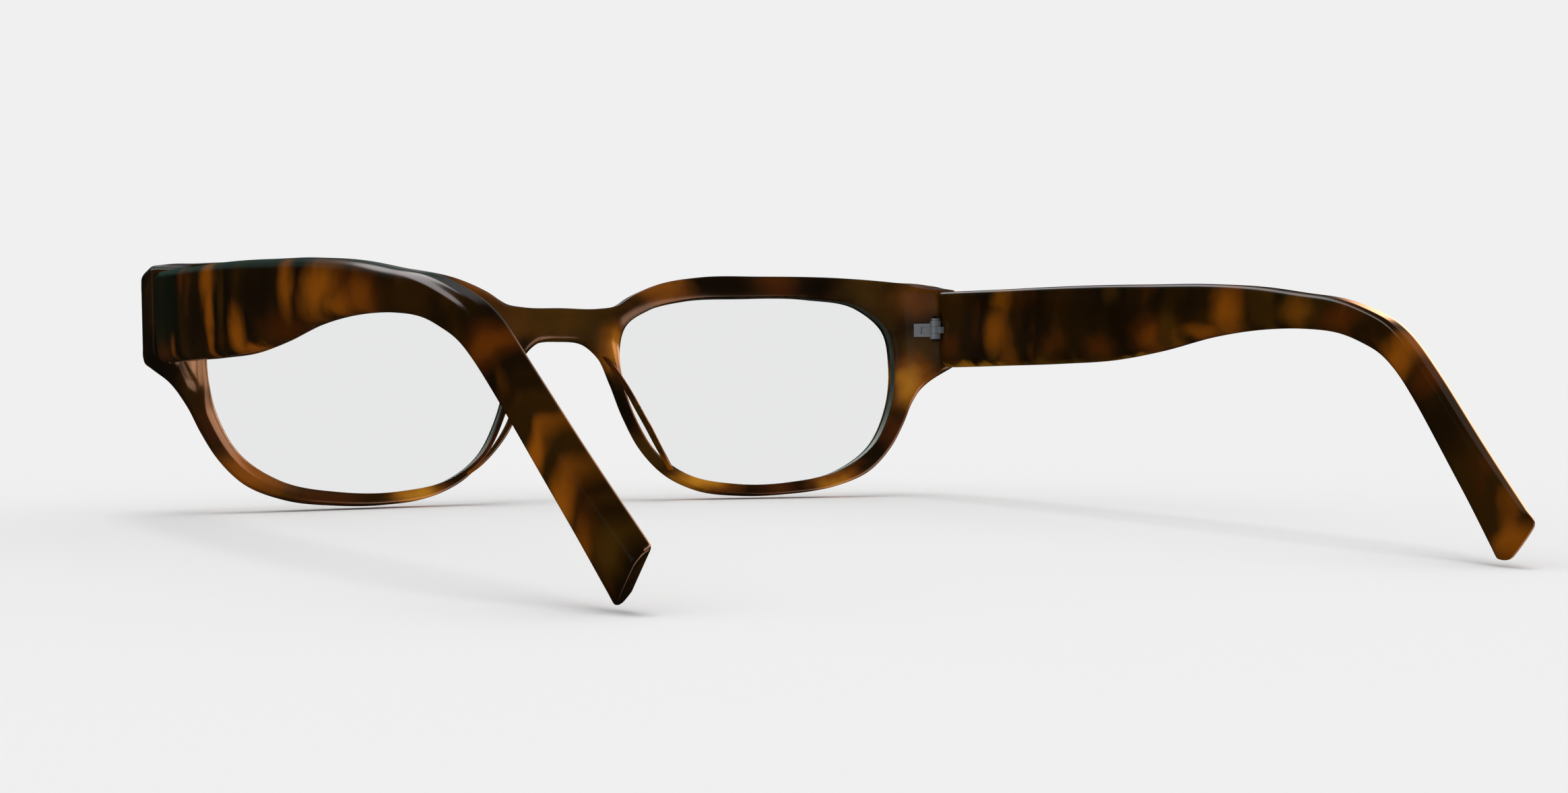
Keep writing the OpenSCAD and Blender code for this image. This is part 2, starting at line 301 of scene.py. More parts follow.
def edge_rings(shell, loop, normals, radii, face, sign, depth, flat, steps=8):
    """Rings of a rounded edge, from the wall to the face: a round, or partly a bevel."""
    rings = []
    for k in range(steps + 1):
        a = math.pi / 2 * k / steps
        reach = (1 - flat) * math.cos(a) + flat * (1 - k / steps)
        rise = (1 - flat) * math.sin(a) + flat * k / steps
        q = loop + normals * (radii * (1 - reach))[:, None]
        y = face(q) - sign * depth * radii * (1 - rise)
        rings.append((q, np.stack([q[:, 0], y, q[:, 1]], 1)))
    ids = [shell.add(r[1]) for r in rings[:-1]]
    return ids, rings[-1][0]


def cap(shell, loops, face, grids, flip):
    """Fills the area between the loops on one face and returns each loop's vertex indices."""
    outer, holes = loops[0], loops[1:]
    extra = np.concatenate(grids)
    keep = inside(extra, outer)
    for h in holes:
        keep &= ~inside(extra, h)
    edge = np.concatenate(loops)
    keep &= nearest(extra, edge) > 0.3
    extra = extra[keep]
    points, edges = [], []
    for loop in loops:
        start = len(points)
        n = len(loop)
        points += [tuple(q) for q in loop]
        edges += [(start + k, start + (k + 1) % n) for k in range(n)]
    total = len(points)
    points += [tuple(q) for q in extra]
    flat, _, tris, origin, _, _ = delaunay_2d_cdt([Vector(q) for q in points], edges, [], 0, 1e-7)
    flat = np.array([tuple(q) for q in flat])
    tris = np.array([tuple(t) for t in tris])
    middle = flat[tris].mean(1)
    ok = inside(middle, outer)
    for h in holes:
        ok &= ~inside(middle, h)
    tris = tris[ok]
    ids = np.array(shell.add(np.stack([flat[:, 0], face(flat), flat[:, 1]], 1)))
    place = {}
    for new, olds in enumerate(origin):
        for old in olds:
            place[old] = new
    a, b, c = flat[tris[:, 0]], flat[tris[:, 1]], flat[tris[:, 2]]
    area = (b[:, 0] - a[:, 0]) * (c[:, 1] - a[:, 1]) - (b[:, 1] - a[:, 1]) * (c[:, 0] - a[:, 0])
    for t, s in zip(tris, area):
        t = t if (s > 0) != flip else t[::-1]
        shell.faces.append(tuple(int(ids[v]) for v in t))
    out, start = [], 0
    for loop in loops:
        out.append([int(ids[place[start + k]]) for k in range(len(loop))])
        start += len(loop)
    assert start == total
    return out


def build_front(material):
    left = [(-x, z) for x, z in HALF_OUTLINE[::-1]]
    outline = closed_curve(HALF_OUTLINE + left[1:-1], 16)
    hole = closed_curve(OPENING, 26)
    mirrored = (hole * [-1, 1])[::-1]
    loops = [outline, hole, mirrored]
    rims = np.concatenate(loops[1:])
    shell = Shell()
    walls = {}
    for sign, face in ((1, rear_face), (-1, front_face)):
        ends, rounds = [], []
        for i, loop in enumerate(loops):
            # Material lies inside the outline and outside the openings
            normals = inward_normals(loop) * (1 if i == 0 else -1)
            gap = nearest(loop, rims if i == 0 else outline)
            bend = bend_radius(loop, normals)
            if i == 0:
                at_end = np.clip((np.abs(loop[:, 0]) - 61) / 5, 0, 1)
                full = (REAR_ROUND if sign > 0 else FRONT_ROUND) * (1 - at_end) + END_ROUND * at_end
                r = np.minimum(full, 0.4 * gap)
            else:
                far_out = np.clip((np.abs(loop[:, 0]) - 50) / 5, 0, 1)
                at_hinge = far_out * np.clip((loop[:, 1] + 14) / 5, 0, 1)
                full = RIM_BEVEL - (RIM_BEVEL - HINGE_BEVEL) * at_hinge if sign > 0 else RIM_ROUND
                r = np.minimum(full, 0.58 * gap)
            r = smoothed(np.minimum(r, 0.8 * bend), 6)
            # The openings have a soft bevel on the wearer's side
            depth, flat = (0.62, 0.6) if i and sign > 0 else (1.0, 0.0)
            ids, last = edge_rings(shell, loop, normals, r, face, sign, depth, flat)
            rounds.append(ids)
            ends.append(last)
        fine = [grid_points((side * 57.5 - 10.7, side * 57.5 + 10.7, -16, 10), 0.4) for side in (1, -1)]
        flip = sign < 0
        inner = cap(shell, ends, face, [grid_points((-46.8, 46.8, -27, 11), 1.6)] + fine, not flip)
        for i, ids in enumerate(rounds):
            chain = ids + [inner[i]]
            turn = (i == 0) == (sign > 0)
            for a, b in zip(chain, chain[1:]):
                shell.band(a, b, not turn)
        walls[sign] = [ids[0] for ids in rounds]
    for i, (a, b) in enumerate(zip(walls[1], walls[-1])):
        shell.band(a, b, i == 0)
    verts = to_row(shell.verts)
    obj = add_object("front_shell", verts, shell.faces, "front", material, ["front_frame"])
    for side in (1, -1):
        drill(obj, side)
    return obj


# ---------------------------------------------------------------- lenses

def build_lens(side, clear, edge):
    loop = closed_curve(OPENING, 14)
    loop = loop + inward_normals(loop) * LENS_PLAY
    centre = loop.mean(0)
    shell = Shell()
    rims = []
    for sign, offset in ((1, LENS_INSET), (-1, LENS_INSET + LENS_T)):
        rings = []
        for k in range(10):
            q = centre + (loop - centre) * (1 - k / 10)
            rings.append(shell.add(np.stack([q[:, 0], wrap_face(q[:, 0], offset), q[:, 1]], 1)))
        for a, b in zip(rings, rings[1:]):
            shell.band(a, b, sign < 0)
        hub = shell.add([[centre[0], wrap_face(centre[0], offset), centre[1]]])[0]
        last = rings[-1]
        for a, b in zip(last, last[1:] + last[:1]):
            shell.faces.append((a, b, hub) if sign > 0 else (b, a, hub))
        rims.append(rings[0])
    wall = len(shell.faces)
    shell.band(rims[0], rims[1], True)
    verts = to_row(np.array(shell.verts) * [side, 1, 1])
    faces = [f[::-1] for f in shell.faces] if side < 0 else shell.faces
    word = "left" if side > 0 else "right"
    obj = add_object(f"lens_{word}_clear", verts, faces, "front", clear, [f"lens_{word}"])
    obj.data.materials.append(edge)
    for poly in obj.data.polygons[wall:]:
        poly.material_index = 1
    corner = {v for rim in rims for v in rim}
    for line in obj.data.edges:
        a, b = line.vertices
        line.use_edge_sharp = a in corner and b in corner and (a in rims[0]) == (b in rims[0])
    obj.visible_shadow = False
    return obj


# ---------------------------------------------------------------- nose pads

def build_pad(side, material):
    route = open_curve(PAD_ROUTE, 10)
    last, n = len(route) - 1, 20
    rings = []
    for i, c in enumerate(route):
        sunk = min(1, (i + 1) / 7, (last - i + 1) / 5)
        swell = (0.6 + 0.25 * math.sin(math.pi * i / last)) * sunk
        base = -REACH + c[0] ** 2 / (2 * WRAP_R)
        rings.append([(side * (c[0] + swell * 0.7 * math.cos(2 * math.pi * k / n)),
                       base + c[1] + swell * 0.75 * math.sin(2 * math.pi * k / n), c[2])
                      for k in range(n)])
    shell = Shell()
    ids = [shell.add(r) for r in rings]
    for a, b in zip(ids, ids[1:]):
        shell.band(a, b, side < 0)
    shell.faces.append(tuple(ids[0][::-1]) if side > 0 else tuple(ids[0]))
    shell.faces.append(tuple(ids[-1]) if side > 0 else tuple(ids[-1][::-1]))
    word = "left" if side > 0 else "right"
    return add_object(f"nose_rail_{word}", to_row(shell.verts), shell.faces, "front",
                      material, [f"nose_pad_{word}"])


# ---------------------------------------------------------------- temples

def outer_x(y, z):
    d = DROP_BELOW - z
    drop = (d + math.sqrt(d * d + 9)) / 2
    across = HALF_W - OUTER_GAP + TOE_OUT * y - BOW * y * abs(y)
    return across - DROP_LEAN * drop + BLADE_LEAN * z


def blade_t(y):
    return TEMPLE_T - TEMPLE_TAPER * y - TIP_THIN * max(0, (y - TIP_FROM) / TIP_RUN) ** 2


def corner_size(side, end):
    """Rounding of the blade's four long edges; the last value flattens the round into a bevel."""
    if side > 0:
        return 1.15, 0.0
    return (0.7, 0.0) if end > 0 else (1.2, 0.75)


def blade_ring(row, inset=0.0, along_blade=0.0, steps=6):
    y0, z0, h, lean = row
    t = blade_t(y0)
    a = math.radians(lean)
    up = np.array([math.sin(a), math.cos(a)])
    onward = np.array([up[1], -up[0]])
    skew = CUT_SKEW * max(0, (y0 - CUT_FROM) / CUT_RUN) ** 2 / t
    corners = []
    for side, end in ((1, 1), (-1, 1), (-1, -1), (1, -1)):
        r, flat = corner_size(side, end)
        r = max(r - inset, 0.05)
        corner = []
        for k in range(steps + 1):
            b = math.pi / 2 * (k if side * end > 0 else steps - k) / steps
            u = b / (math.pi / 2)
            rise = (1 - flat) * math.sin(b) + flat * u
            reach = (1 - flat) * math.cos(b) + flat * (1 - u)
            corner.append((-t / 2 + side * (t / 2 - inset - r + r * reach),
                           end * (h / 2 - inset - r + r * rise)))
        corners.append(corner)
    section = []
    for corner, following, parts in zip(corners, corners[1:] + corners[:1], (3, 6, 3, 6)):
        section += corner
        a0, b0 = np.array(corner[-1]), np.array(following[0])
        stops = [0.06] + [k / (parts - 1) for k in range(1, parts - 1)] + [0.94]
        section += [tuple(a0 + (b0 - a0) * f) for f in stops]
    ring = []
    for across, along in section:
        across -= PILLOW * (1 + across / t) * abs(2 * along / h) ** 3
        p = np.array([y0, z0]) + along * up + (skew * across + along_blade) * onward
        ring.append((outer_x(p[0], p[1]) + across, p[0], p[1]))
    return ring


def build_temple(side, material):
    rows = open_curve(BLADE, 14)
    shell = Shell()
    steps = 5
    rings = []
    for k in range(steps, -1, -1):
        a = math.pi / 2 * k / steps
        rings.append(blade_ring(rows[0], BUTT_ROUND * (1 - math.cos(a)), BUTT_ROUND * (1 - math.sin(a))))
    body = [row for row in rows if row[0] > 0.6 and row[0] < BLADE[-1][0] - 0.8]
    rings += [blade_ring(row) for row in body]
    for k in range(steps + 1):
        a = math.pi / 2 * k / steps
        rings.append(blade_ring(rows[-1], TIP_ROUND * (1 - math.cos(a)), -TIP_ROUND * (1 - math.sin(a))))
    rings = np.array(rings)
    rings[..., 0] *= side
    rings[..., 1] += BUTT_Y
    rings[..., 2] += HINGE_Z
    ids = [shell.add(r) for r in rings]
    for a, b in zip(ids, ids[1:]):
        shell.band(a, b, side < 0)
    shell.faces.append(tuple(ids[0][::-1]) if side > 0 else tuple(ids[0]))
    shell.faces.append(tuple(ids[-1]) if side > 0 else tuple(ids[-1][::-1]))
    word = "left" if side > 0 else "right"
    obj = add_object(f"temple_{word}_blade", shell.verts, shell.faces, f"temple_{word}",
                     material, [f"temple_{word}"])
    drill(obj, side)
    return obj


# ---------------------------------------------------------------- materials

PATCH_SPREAD = 1.5                 # soft patches fade out this much beyond their stated size


def add_node(tree, kind, inputs=None, **settings):
    """Adds a node: an input is linked when it is given a socket, and set when it is given a value."""
    node = tree.nodes.new(kind)
    for key, value in settings.items():
        setattr(node, key, value)
    for key, value in (inputs or {}).items():
        if isinstance(value, bpy.types.NodeSocket):
            tree.links.new(value, node.inputs[key])
        else:
            node.inputs[key].default_value = value
    return node


class Nodes:
    """A material's node tree, with short calls that add to it."""

    def __init__(self, name):
        self.material = bpy.data.materials.new(name)
        self.material.use_nodes = True
        self.tree = self.material.node_tree
        self.shader = self.tree.nodes["Principled BSDF"]

    def add(self, kind, inputs=None, **settings):
        return add_node(self.tree, kind, inputs, **settings)

    def math(self, operation, a, b=0.0):
        return self.add("ShaderNodeMath", {0: a, 1: b}, operation=operation).outputs[0]

    def mix(self, factor, a, b):
        node = self.add("ShaderNodeMix", {0: factor, 6: a, 7: b}, data_type="RGBA")
        return node.outputs[2]

    def ramp(self, value, low, high):
        inputs = {0: value, 1: low, 2: high}
        node = self.add("ShaderNodeMapRange", inputs, interpolation_type="SMOOTHSTEP")
        return node.outputs[0]

    def patch(self, coords, centre, size, turn=(0, 0, 0)):
        """A soft spot: 1 in the middle of an ellipsoid, falling to 0 at its skin."""
        node = self.add("ShaderNodeMapping", {
            "Vector": coords, "Location": centre,
            "Rotation": tuple(math.radians(a) for a in turn),
            "Scale": tuple(PATCH_SPREAD * a for a in size)}, vector_type="TEXTURE")
        length = self.add("ShaderNodeVectorMath", {0: node.outputs[0]}, operation="LENGTH").outputs[1]
        return self.ramp(length, 1.0, 0.1)

    def link(self, output, name):
        self.tree.links.new(output, self.shader.inputs[name])

    def set(self, **values):
        for name, value in values.items():
            self.shader.inputs[name.replace("_", " ")].default_value = value


def tortoiseshell(name, patches, seed, grain, generic=1.0, rough=0.10):
    """Polished acetate: near-black brown, with soft amber, red and olive patches through it. Some
    patches are painted light: glow through the rims' bottoms, a lit bevel and a green reflection.
    """
    n = Nodes(name)
    place = n.add("ShaderNodeTexCoord").outputs["Object"]
    mm = n.add("ShaderNodeVectorMath", {0: place, 3: 1 / MM}, operation="SCALE").outputs[0]
    ripple = n.add("ShaderNodeTexNoise", {"Vector": mm, "Scale": 0.3, "Detail": 1.0}).outputs["Color"]
    half = (0.5, 0.5, 0.5)
    centred = n.add("ShaderNodeVectorMath", {0: ripple, 1: half}, operation="SUBTRACT").outputs[0]
    push = n.add("ShaderNodeVectorMath", {0: centred, 3: 2.2}, operation="SCALE").outputs[0]
    coords = n.add("ShaderNodeVectorMath", {0: mm, 1: push}, operation="ADD").outputs[0]
    stretched = n.add("ShaderNodeVectorMath", {0: coords, 1: grain}, operation="MULTIPLY").outputs[0]
    shift = (seed, 2 * seed, -seed)
    moved = n.add("ShaderNodeVectorMath", {0: stretched, 1: shift}, operation="ADD").outputs[0]

    def cloud(scale, low, high, detail=2.0):
        out = n.add("ShaderNodeTexNoise", {"Vector": moved, "Scale": scale, "Detail": detail,
                                           "Roughness": 0.45}).outputs[0]
        return n.ramp(out, low, high)

    black = (0.0085, 0.0040, 0.0006, 1)
    brown = (0.028, 0.0108, 0.0006, 1)
    # the gold tone is the acetate's lightest amber, and also painted glow where light shines through the
    # rims' bottoms and onto the right temple's lower bevel
    gold_and_glow = (0.600, 0.245, 0.0080, 1)
    red = (0.085, 0.018, 0.0006, 1)
    olive = (0.075, 0.031, 0.0012, 1)
    amber = (0.290, 0.078, 0.0012, 1)
    colour = n.mix(cloud(0.9, 0.36, 0.62), black, brown)
    colour = n.mix(n.math("MULTIPLY", cloud(1.3, 0.55, 0.75), 0.55), colour, olive)
    colour = n.mix(n.math("MULTIPLY", cloud(1.6, 0.58, 0.78), 0.7), colour, red)
    spots = n.math("MULTIPLY", cloud(1.1, 0.60, 0.76), 0.8 * generic)
    # painted reflection: this green-black tone stands in for a green reflection near the left temple's
    # joint
    green_reflection = (0.0050, 0.0115, 0.0050, 1)
    tones = {"green_reflection": green_reflection, "black": black, "brown": brown, "olive": olive,
             "red": red, "amber": amber, "gold_and_glow": gold_and_glow}
    groups = {}
    for tone, strength, centre, size, turn in patches:
        soft = n.math("MULTIPLY", n.patch(coords, centre, size, turn), strength)
        groups[tone] = n.math("MAXIMUM", groups[tone], soft) if tone in groups else soft
    colour = n.mix(spots, colour, amber)
    for tone, shade in tones.items():
        if tone in groups:
            colour = n.mix(groups[tone], colour, shade)
    n.link(colour, "Base Color")
    haze = n.add("ShaderNodeTexNoise", {"Vector": mm, "Scale": 0.25, "Detail": 1.0}).outputs[0]
    n.link(n.add("ShaderNodeMapRange", {0: haze, 3: rough, 4: rough + 0.06}).outputs[0], "Roughness")
    bump = n.add("ShaderNodeBump", {"Strength": 0.01, "Distance": 0.0002, "Height": haze}).outputs[0]
    n.link(bump, "Normal")
    n.set(IOR=1.5)
    return n.material


def clear_plastic():
    n = Nodes("lens_clear")
    place = n.add("ShaderNodeTexCoord").outputs["Object"]
    cloud = n.add("ShaderNodeTexNoise", {"Vector": place, "Scale": 60.0}).outputs[0]
    n.link(n.mix(cloud, (0.985, 0.995, 0.992, 1), (0.995, 1.0, 0.998, 1)), "Base Color")
    n.set(IOR=1.5, Roughness=0.0)
    n.shader.inputs["Transmission Weight"].default_value = 1.0
    return n.material


def lens_edge():
    """The ground edge of a lens: pale green below, where light gets in, grey towards the top."""
    n = Nodes("lens_edge_ground")
    place = n.add("ShaderNodeTexCoord").outputs["Object"]
    height = n.add("ShaderNodeSeparateXYZ", {0: place}).outputs[2]
    cloud = n.add("ShaderNodeTexNoise", {"Vector": place, "Scale": 900.0, "Detail": 3.0}).outputs[0]
    rise = n.math("ADD", n.ramp(height, 0.022, 0.004), n.math("MULTIPLY", cloud, 0.2))
    n.link(n.mix(rise, (0.060, 0.080, 0.072, 1), (0.46, 0.60, 0.53, 1)), "Base Color")
    n.set(Roughness=0.35)
    return n.material


def steel(name, light, dark, rough, grain):
    """Metal with fine machining lines."""
    n = Nodes(name)
    place = n.add("ShaderNodeTexCoord").outputs["Object"]
    lines = n.add("ShaderNodeVectorMath", {0: place, 1: grain}, operation="MULTIPLY").outputs[0]
    noise = n.add("ShaderNodeTexNoise", {"Vector": lines, "Scale": 1.0, "Detail": 4.0}).outputs[0]
    n.link(n.mix(noise, dark, light), "Base Color")
    n.link(n.add("ShaderNodeMapRange", {0: noise, 3: rough, 4: rough + 0.15}).outputs[0], "Roughness")
    bump = n.add("ShaderNodeBump", {"Strength": 0.1, "Distance": 0.00005, "Height": noise}).outputs[0]
    n.link(bump, "Normal")
    n.set(Metallic=0.75)
    return n.material


def at(y, z, side=1):
    """A point on a temple's outer face, in the row frame.

    It is given by its distance behind the joint and its height.
    """
    return (side * outer_x(y, z), BUTT_Y + y, HINGE_Z + z)


# Patches on the temples: tone, strength, [back, up] from the joint, [half length, half height], lean
def temple_patches(side, spots):
    return [(tone, strength, at(y, z, side), (7.0, long, tall), (lean, 0, 0))
            for tone, strength, y, z, long, tall, lean in spots]


LEFT_SPOTS = [
    # painted reflection: the green-black patch by the joint
    ("green_reflection", 0.9, 6, 1.5, 11, 9, 0),
    ("red", 0.9, 19, 5.5, 2.2, 2.6, -14),
    ("amber", 0.9, 34.5, 4.5, 3.8, 4.2, 0),
    ("amber", 0.95, 35.8, 0.5, 2.3, 4.5, 0),
    ("amber", 0.75, 35.8, -3.6, 1.7, 2.6, 0),
    ("red", 0.6, 6.5, -5.0, 5.0, 1.6, 0),
    ("amber", 0.5, 13.2, -4.6, 1.6, 1.7, 12),
    ("amber", 0.95, 48.5, -3.2, 3.6, 3.0, -38),
    ("amber", 0.85, 53.5, -5.2, 5.0, 1.0, 2),
    ("black", 0.9, 60, 1.5, 6.0, 5.5, 0),
    ("black", 0.7, 26, -2.0, 6.0, 4.5, 0),
    ("red", 0.5, 67, -3.0, 9.0, 2.2, 0),
    ("amber", 0.75, 68.3, 2.4, 2.7, 3.8, 6),
    ("amber", 0.9, 79, 1.4, 5.8, 2.9, 10),
    ("amber", 0.6, 84, -0.3, 6.0, 1.6, 0),
    ("red", 0.9, 90.5, 0.6, 6.0, 3.0, 0),
    ("amber", 0.4, 91.5, 0.0, 3.6, 2.2, 0),
    ("brown", 0.8, 101, -1.0, 7.0, 3.5, 0),
    ("black", 0.85, 109.5, -4.0, 6.0, 3.2, 30),
    ("red", 0.95, 119.6, -5.6, 4.2, 2.6, 36),
    ("amber", 0.2, 119.8, -5.4, 2.4, 1.4, 36),
    ("black", 0.75, 126, -8.5, 6.5, 1.5, 48),
    ("amber", 1.0, 127.9, -15.6, 4.6, 1.5, 62),
    ("amber", 1.0, 131.4, -20.3, 5.0, 2.2, 54),
    ("amber", 0.5, 134, -24.2, 3.4, 1.8, 55),
    ("black", 0.7, 135.5, -17.8, 8.0, 1.7, 45),
    ("olive", 0.7, 139.4, -23.4, 3.2, 2.4, 45),
]
RIGHT_SPOTS = [
    ("brown", 0.7, 5, 1, 9, 6, 0),
    # painted highlight: these gold and olive bands along the lower bevel paint the light that the bevel
    # catches
    ("gold_and_glow", 0.5, 9, -6.4, 12, 0.8, 0),
    ("olive", 0.9, 32, -6.1, 18, 0.7, 2),
    ("gold_and_glow", 0.45, 56, -5.3, 7, 0.8, 6),
    ("red", 0.9, 3.0, -2.4, 3.4, 2.0, 0),
    ("olive", 0.95, 18.7, 4.8, 3.2, 2.6, -10),
    ("amber", 0.5, 18.7, 4.8, 2.6, 2.4, -10),
    ("amber", 0.85, 17.3, -0.6, 3.2, 3.6, -14),
    ("black", 0.9, 28, 0.5, 7.0, 7.0, 0),
    ("black", 0.8, 43, 2.5, 12, 4.2, 0),
    ("red", 0.5, 35, -2.6, 4.5, 2.2, 0),
    ("red", 0.75, 48, -3.2, 4.2, 1.8, 0),
    ("olive", 0.5, 50.5, 5.0, 2.6, 2.0, 0),
    ("red", 0.8, 61, -1.6, 4.5, 2.8, 0),
    ("amber", 0.3, 61.5, -2.0, 3.0, 2.0, 0),
    ("black", 0.8, 71, 2.6, 6.5, 2.8, 0),
    ("amber", 0.85, 80.8, 1.4, 4.2, 3.6, 0),
    ("amber", 0.6, 75, -1.5, 5.6, 1.3, 0),
    ("brown", 0.8, 89, 1.0, 6.0, 3.2, 0),
    ("olive", 0.95, 97.5, 0.8, 4.8, 2.6, 0),
    ("amber", 0.35, 97.5, 0.6, 3.6, 2.0, 0),
    ("red", 0.8, 106.5, -0.6, 5.0, 2.0, 8),
    ("black", 0.7, 110.5, -2.8, 4.0, 1.6, 14),
    ("amber", 0.95, 118.5, -5.8, 6.4, 3.0, 40),
    ("red", 0.8, 125, -7.0, 4.0, 2.4, 42),
    ("black", 0.9, 127.5, -13.5, 8.0, 5.0, 45),
    ("brown", 0.7, 135, -19.5, 6.0, 4.0, 45),
    ("amber", 0.7, 140.6, -26.6, 3.6, 2.2, 45),
]


def front_spot(tone, strength, x, z, wide, tall, turn=0, depth=4.5):
    """A patch on the front, placed in the front's plane."""
    centre = to_row([[x, wrap_face(abs(x), 1.5), z]])[0]
    return (tone, strength, tuple(centre), (wide, depth, tall), (0, turn, 0))


FRONT_SPOTS = [
    front_spot("olive", 0.9, 1, 2.5, 10, 5),
    front_spot("amber", 0.95, -9.0, -1.8, 3.4, 3.8),
    front_spot("gold_and_glow", 0.6, -9.4, -1.8, 1.8, 2.6),
    front_spot("amber", 0.8, -18, 8.3, 5.2, 2.6),
    front_spot("black", 0.5, -30, 9.4, 6, 3),
    front_spot("red", 0.8, -38.5, 9.6, 3.8, 2.2),
    front_spot("black", 0.35, -45.5, 9.3, 4.5, 2.4),
    front_spot("olive", 0.7, -54, 8.0, 5, 3),
    front_spot("amber", 0.45, -63.5, 6.0, 4.5, 3.5, 0, 8),
    front_spot("olive", 0.9, -63.5, -2.0, 4.0, 3.6, 0, 8),
    front_spot("amber", 0.95, -61.5, -8.2, 3.6, 4.6, 0, 8),
    front_spot("gold_and_glow", 0.6, -60.8, -8.6, 1.8, 3.6, 0, 8),
    front_spot("red", 0.8, -58.5, -17.0, 3.0, 3.5),
    # the amber and gold patches along the rims' bottoms are partly the acetate's amber and partly
    # painted glow of light shining through it
    front_spot("amber", 0.95, -48, -25.0, 5.5, 2.2),
    front_spot("gold_and_glow", 0.7, -47.5, -25.4, 3.6, 1.2),
    front_spot("gold_and_glow", 0.95, -22.5, -24.0, 4.4, 1.8),
    front_spot("red", 0.6, -37, -26, 4, 2),
    front_spot("amber", 0.95, -23.5, -24.2, 6.0, 2.8),
    front_spot("olive", 0.8, -15, -19.5, 4, 4),
    front_spot("black", 0.95, -10.5, -11.5, 3.2, 6.0),
    front_spot("black", 0.6, 14, -13, 4, 5),
    front_spot("red", 0.7, 15, -19, 4, 4),
    # partly the acetate's amber, partly painted glow of light through the rim's bottom
    front_spot("amber", 0.95, 26, -25.5, 5.0, 2.4),
    front_spot("gold_and_glow", 0.9, 26, -25.6, 3.8, 1.6),
    front_spot("red", 0.7, 42, -26.5, 6, 2.4),
    front_spot("amber", 0.95, 53, -22, 6, 4),
    front_spot("red", 0.5, 58.5, -15, 3, 4),
    front_spot("olive", 0.8, 61, -6, 2.5, 3.5, 0, 8),
    front_spot("black", 0.9, 66, -5.5, 3.5, 5, 0, 8),
    front_spot("amber", 0.6, 34, 10, 6, 3),
    front_spot("red", 0.6, 50, 9.5, 6, 3),
    front_spot("amber", 0.5, 16, 8.5, 4, 3),
]

PAD_SPOTS = [front_spot(tone, strength, side * x, z, 4, tall) for side in (1, -1)
             for tone, strength, x, z, tall in (
                 ("red", 0.9, 9.5, -7, 7), ("amber", 0.6, 13.5, -15, 5), ("amber", 0.9, 17.5, -21.5, 4))]

left_acetate = tortoiseshell("acetate_left", temple_patches(1, LEFT_SPOTS), 3.1, (0.10, 0.10, 0.05), 0.4)
right_acetate = tortoiseshell(
    "acetate_right", temple_patches(-1, RIGHT_SPOTS), 7.7, (0.10, 0.10, 0.05), 0.4)
front_acetate = tortoiseshell("acetate_front", FRONT_SPOTS, 11.3, (0.07, 0.10, 0.07), 0.5, 0.18)
pad_acetate = tortoiseshell("acetate_pads", PAD_SPOTS, 5.2, (0.12, 0.12, 0.12), 1.0)
lens_clear, lens_ground = clear_plastic(), lens_edge()
hinge_metal = steel("hinge_nickel", (0.66, 0.72, 0.78, 1), (0.44, 0.48, 0.53, 1), 0.24, (900, 900, 9000))
screw_metal = steel(
    "screw_bright", (0.70, 0.71, 0.72, 1), (0.45, 0.46, 0.48, 1), 0.14, (4000, 4000, 600))
wire_metal = steel("core_wire", (0.60, 0.60, 0.58, 1), (0.42, 0.42, 0.41, 1), 0.25, (4000, 200, 4000))

build_front(front_acetate)
for side in (1, -1):
    build_lens(side, lens_clear, lens_ground)
    build_pad(side, pad_acetate)
    build_temple(side, left_acetate if side > 0 else right_acetate)

for word in ("left", "right"):
    for node, metal in (("front_hinge", hinge_metal), ("temple_hinge", hinge_metal),
                        ("hinge_screw", screw_metal), ("core_wire", wire_metal)):
        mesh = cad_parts[f"{node}_{word}"].data
        mesh.materials.clear()
        mesh.materials.append(metal)

# ---------------------------------------------------------------- camera

# Rounded from a least-squares fit to the photo
FOCAL = 47.53
CAMERA_AT = Vector((122.8, 244.06, 20.65)) * MM
LOOK = Vector((-0.4547, -0.8906, -0.0096)).normalized()
RIGHT = Vector((-0.8906, 0.4547, 0.0038)).normalized()

camera_data = bpy.data.cameras.new("camera")
camera_data.lens = FOCAL
camera_data.sensor_width = 36.0
camera_data.clip_start = 0.01
camera = bpy.data.objects.new("camera", camera_data)
bpy.context.scene.collection.objects.link(camera)
up = RIGHT.cross(LOOK).normalized()
turn = Matrix((RIGHT, up, -LOOK)).transposed()
camera.matrix_world = Matrix.Translation(CAMERA_AT) @ turn.to_4x4()
bpy.context.scene.camera = camera

# ---------------------------------------------------------------- floor and light

PALE = 0.871                       # brightness of the backdrop and the floor
FLOOR_TONE = 0.925
SUN = 0.8
DAYLIGHT = PALE / FLOOR_TONE - SUN / math.pi

# Softboxes, seen only in reflections: azimuth from the front, elevation (both as from, to, fade),
# brightness and colour
SOFTBOXES = [
    ((-20, 24, 8), (14, 22, 9), 0.08, (0.40, 1.0, 0.85)),
    ((-34, -20, 6), (4, 11, 4), 0.4, (1.0, 1.0, 1.0)),
    ((-46, 20, 14), (30, 38, 12), 0.20, (0.85, 0.93, 1.0)),
    ((-8, 40, 8), (31, 41, 5), 2.1, (1.0, 0.95, 0.95)),
    ((-114, -56, 10), (26, 50, 12), 0.25, (1.0, 0.72, 0.58)),
    ((-116, -50, 8), (9, 27, 8), 6.5, (1.0, 0.50, 0.28)),
    ((-130, -88, 7), (-62, -18, 12), 3.4, (1.0, 0.58, 0.38)),
    ((76, 125, 12), (-8, 14, 10), 0.14, (0.90, 0.96, 1.0)),
]
DIM = (0.005, 0.005, 0.004, 1)


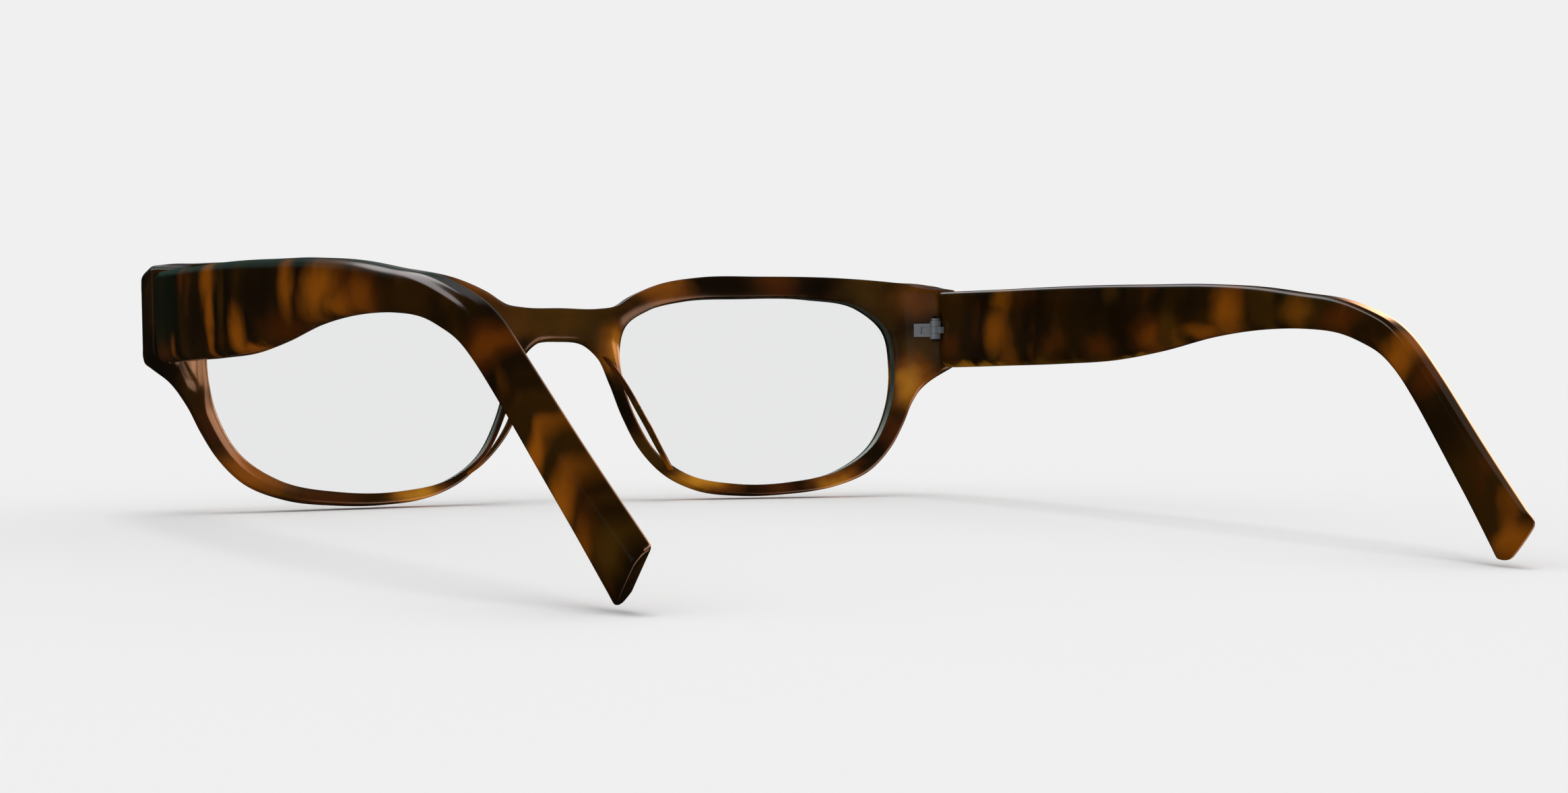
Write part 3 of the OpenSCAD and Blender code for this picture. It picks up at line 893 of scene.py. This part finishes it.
def build_floor():
    bpy.ops.mesh.primitive_plane_add(size=60, location=(0, 0, -0.0001))
    floor = bpy.context.object
    floor.name = "floor"
    n = Nodes("floor_paper")
    place = n.add("ShaderNodeTexCoord").outputs["Object"]
    cloud = n.add("ShaderNodeTexNoise", {"Vector": place, "Scale": 3.0}).outputs[0]
    low, high = (FLOOR_TONE - 0.003,) * 3 + (1,), (FLOOR_TONE + 0.003,) * 3 + (1,)
    n.link(n.mix(cloud, low, high), "Base Color")
    n.set(Roughness=1.0)
    n.shader.inputs["Specular IOR Level"].default_value = 0.0
    floor.data.materials.append(n.material)
    floor.visible_glossy = False
    # The pieces would mirror the bright floor through the lenses; the backdrop behind it is as bright
    floor.visible_transmission = False


def build_world():
    """A pale backdrop, even daylight, and a dark room with softboxes for the reflections."""
    world = bpy.data.worlds.new("studio")
    bpy.context.scene.world = world
    world.use_nodes = True
    # Lamp-style sampling would show the daylight in reflections too
    world.cycles.sampling_method = "NONE"
    tree = world.node_tree
    tree.nodes.clear()

    def add(kind, inputs=None, **settings):
        return add_node(tree, kind, inputs, **settings)

    def calc(operation, a, b=0.0):
        return add("ShaderNodeMath", {0: a, 1: b}, operation=operation).outputs[0]

    def window(angle, low, high, fade):
        middle, half = math.radians((low + high) / 2), math.radians((high - low) / 2)
        away = calc("ABSOLUTE", calc("SUBTRACT", angle, middle))
        return add("ShaderNodeMapRange", {0: away, 1: half + math.radians(fade), 2: half},
                   interpolation_type="SMOOTHSTEP").outputs[0]

    xyz = add("ShaderNodeSeparateXYZ", {0: add("ShaderNodeTexCoord").outputs["Generated"]})
    x, y, z = xyz.outputs
    azimuth = calc("ARCTAN2", x, calc("MULTIPLY", y, -1.0))
    elevation = calc("ARCSINE", z)
    room = add("ShaderNodeRGB")
    room.outputs[0].default_value = DIM
    room = room.outputs[0]
    for (a0, a1, a_fade), (e0, e1, e_fade), strength, colour in SOFTBOXES:
        glow = calc("MULTIPLY", window(azimuth, a0, a1, a_fade), window(elevation, e0, e1, e_fade))
        tint = tuple(c * strength for c in colour) + (1,)
        room = add("ShaderNodeMix", {0: glow, 6: room, 7: tint}, data_type="RGBA").outputs[2]

    path = add("ShaderNodeLightPath")
    mirrored = calc("GREATER_THAN", path.outputs["Glossy Depth"], 0.5)
    direct = calc("MAXIMUM", path.outputs["Is Camera Ray"], path.outputs["Is Transmission Ray"])
    seen = calc("MULTIPLY", direct, calc("SUBTRACT", 1.0, mirrored))
    lit = add("ShaderNodeMix", {0: mirrored, 6: (DAYLIGHT,) * 3 + (1,), 7: room},
              data_type="RGBA").outputs[2]
    final = add("ShaderNodeMix", {0: seen, 6: lit, 7: (PALE,) * 3 + (1,)}, data_type="RGBA").outputs[2]
    background = add("ShaderNodeBackground", {0: final})
    out = add("ShaderNodeOutputWorld")
    tree.links.new(background.outputs[0], out.inputs[0])


def build_sun():
    data = bpy.data.lights.new("overhead", "SUN")
    data.energy = SUN
    data.angle = math.radians(30)
    obj = bpy.data.objects.new("overhead", data)
    obj.visible_glossy = False
    bpy.context.scene.collection.objects.link(obj)


build_floor()
build_world()
build_sun()
bpy.context.scene.view_settings.view_transform = "Standard"
bpy.context.scene.view_settings.look = "None"
